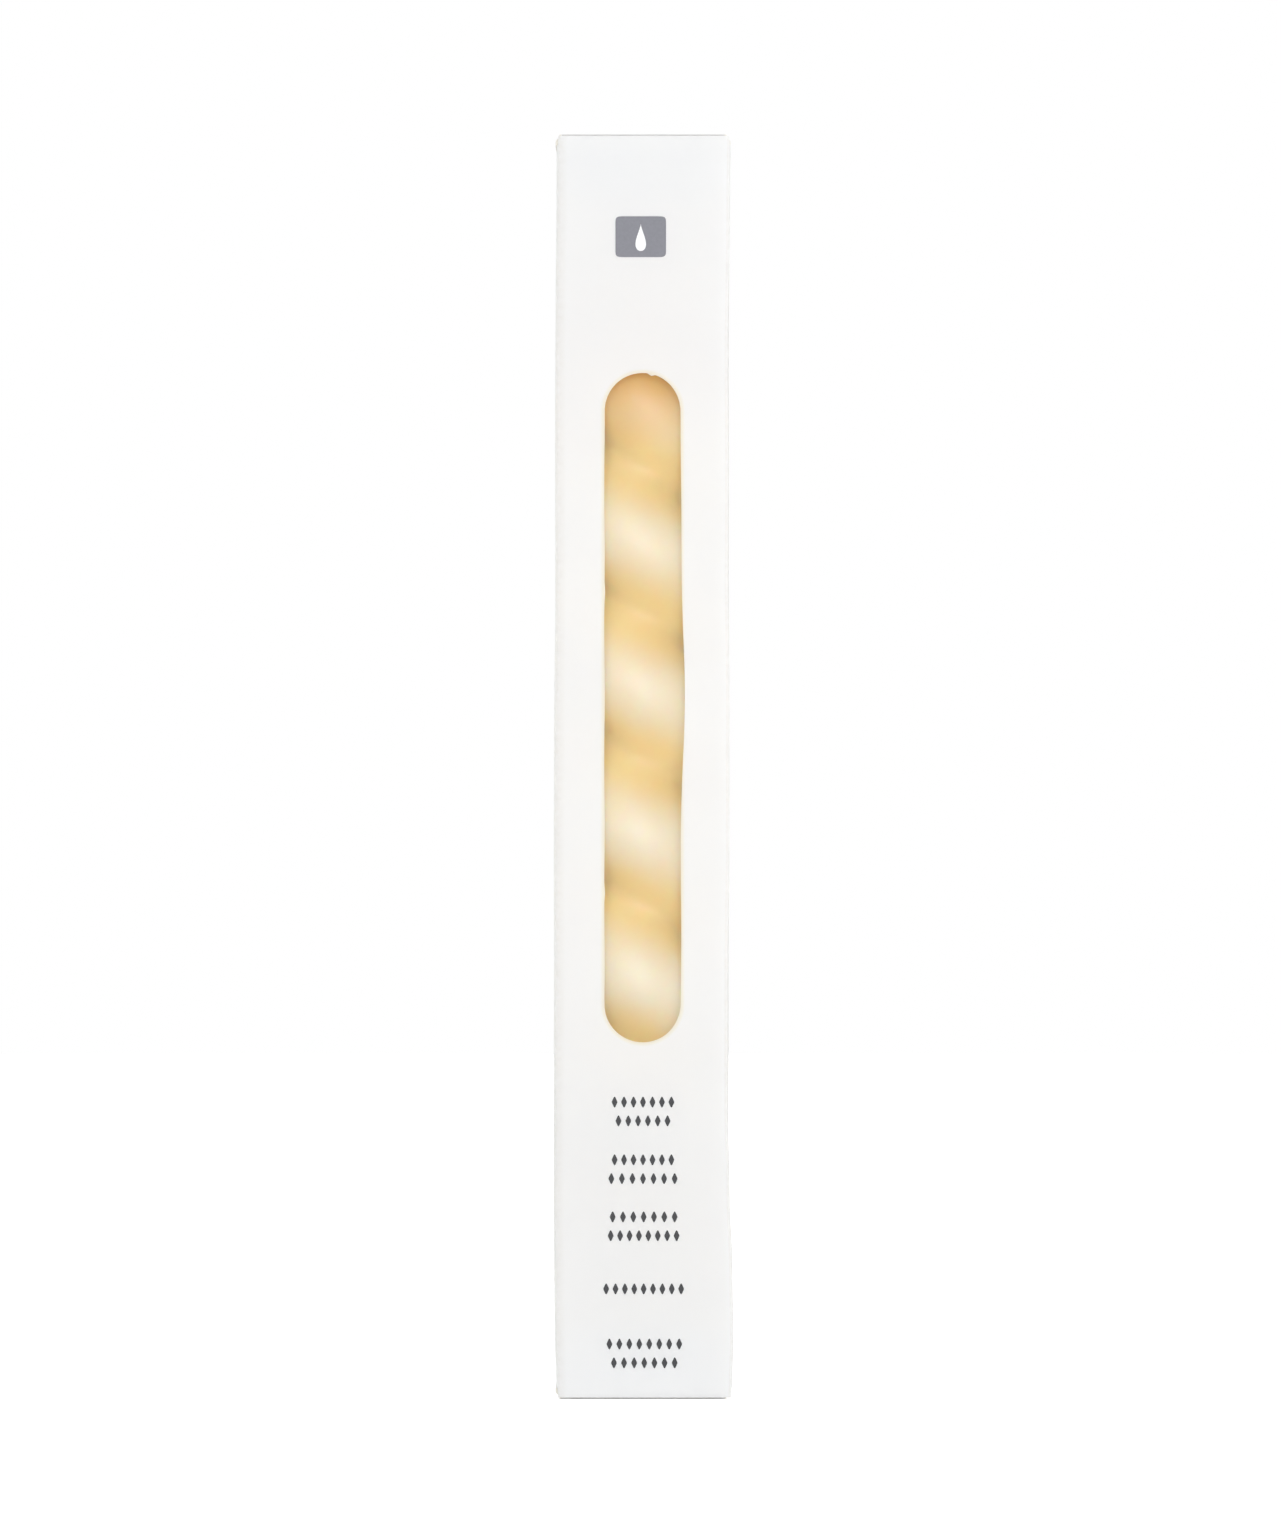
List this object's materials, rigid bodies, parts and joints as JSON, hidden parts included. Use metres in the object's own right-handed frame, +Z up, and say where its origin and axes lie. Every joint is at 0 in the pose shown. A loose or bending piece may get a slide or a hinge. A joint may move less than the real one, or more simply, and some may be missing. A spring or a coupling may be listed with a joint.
{
  "type": "spiral candle in a window carton",
  "caption": "Tall cream candle with a deep left-handed spiral and a straight foot, standing in a slim white tuck-end carton with a long round-ended window.",
  "frame": {"origin": "middle of the closed carton's base, on the surface it stands on", "axes": "+Z up along the candle, the window faces -Y, +X to the right seen from the window's side"},
  "size_m": [0.027, 0.027, 0.195],
  "materials": {
    "coated_board": "satin",
    "bare_board": "matte",
    "dried_glue": "satin",
    "cream_wax": "satin",
    "wick_cotton": "matte"
  },
  "bodies": {
    "carton_sleeve": {"front_panel": "coated_board", "back_panel": "coated_board", "left_panel": "coated_board", "right_panel": "coated_board", "glue_flap": "bare_board", "seam_glue": "dried_glue"},
    "top_lid": {"top_lid": "coated_board"},
    "top_tongue": {"top_tongue": "coated_board"},
    "top_left_dust_flap": {"top_left_dust_flap": "coated_board"},
    "top_right_dust_flap": {"top_right_dust_flap": "coated_board"},
    "bottom_lid": {"bottom_lid": "coated_board"},
    "bottom_tongue": {"bottom_tongue": "coated_board"},
    "bottom_left_dust_flap": {"bottom_left_dust_flap": "coated_board"},
    "bottom_right_dust_flap": {"bottom_right_dust_flap": "coated_board"},
    "candle": {"candle_wax": "cream_wax", "wick": "wick_cotton"}
  },
  "joints": [
    {"name": "top_lid_crease", "type": "hinge", "parent": "carton_sleeve", "child": "top_lid", "pos_m": [0, 0.0135, 0.195], "axis": [-1, 0, 0], "range_deg": [0, 120]},
    {"name": "top_tongue_crease", "type": "hinge", "parent": "top_lid", "child": "top_tongue", "pos_m": [0, -0.01236, 0.19451], "axis": [1, 0, 0], "range_deg": [0, 36]},
    {"name": "top_left_flap_crease", "type": "hinge", "parent": "carton_sleeve", "child": "top_left_dust_flap", "pos_m": [-0.0135, 0, 0.1944], "axis": [0, -1, 0], "range_deg": [0, 90]},
    {"name": "top_right_flap_crease", "type": "hinge", "parent": "carton_sleeve", "child": "top_right_dust_flap", "pos_m": [0.0135, 0, 0.1944], "axis": [0, 1, 0], "range_deg": [0, 90]},
    {"name": "bottom_lid_crease", "type": "hinge", "parent": "carton_sleeve", "child": "bottom_lid", "pos_m": [0, 0.0135, 0], "axis": [1, 0, 0], "range_deg": [0, 120]},
    {"name": "bottom_tongue_crease", "type": "hinge", "parent": "bottom_lid", "child": "bottom_tongue", "pos_m": [0, -0.01236, 0.00049], "axis": [-1, 0, 0], "range_deg": [0, 36]},
    {"name": "bottom_left_flap_crease", "type": "hinge", "parent": "carton_sleeve", "child": "bottom_left_dust_flap", "pos_m": [-0.0135, 0, 0.0006], "axis": [0, 1, 0], "range_deg": [0, 90]},
    {"name": "bottom_right_flap_crease", "type": "hinge", "parent": "carton_sleeve", "child": "bottom_right_dust_flap", "pos_m": [0.0135, 0, 0.0006], "axis": [0, -1, 0], "range_deg": [0, 90]},
    {"name": "candle_turn", "type": "hinge", "parent": "carton_sleeve", "child": "candle", "pos_m": [0, 0, 0], "axis": [0, 0, 1], "continuous": true}
  ],
  "couplings": [
    {"joint": "top_tongue_crease", "follows": "top_lid_crease", "ratio": 0.3},
    {"joint": "top_left_flap_crease", "follows": "top_lid_crease", "ratio": 0.75},
    {"joint": "top_right_flap_crease", "follows": "top_lid_crease", "ratio": 0.75},
    {"joint": "bottom_tongue_crease", "follows": "bottom_lid_crease", "ratio": 0.3},
    {"joint": "bottom_left_flap_crease", "follows": "bottom_lid_crease", "ratio": 0.75},
    {"joint": "bottom_right_flap_crease", "follows": "bottom_lid_crease", "ratio": 0.75}
  ]
}
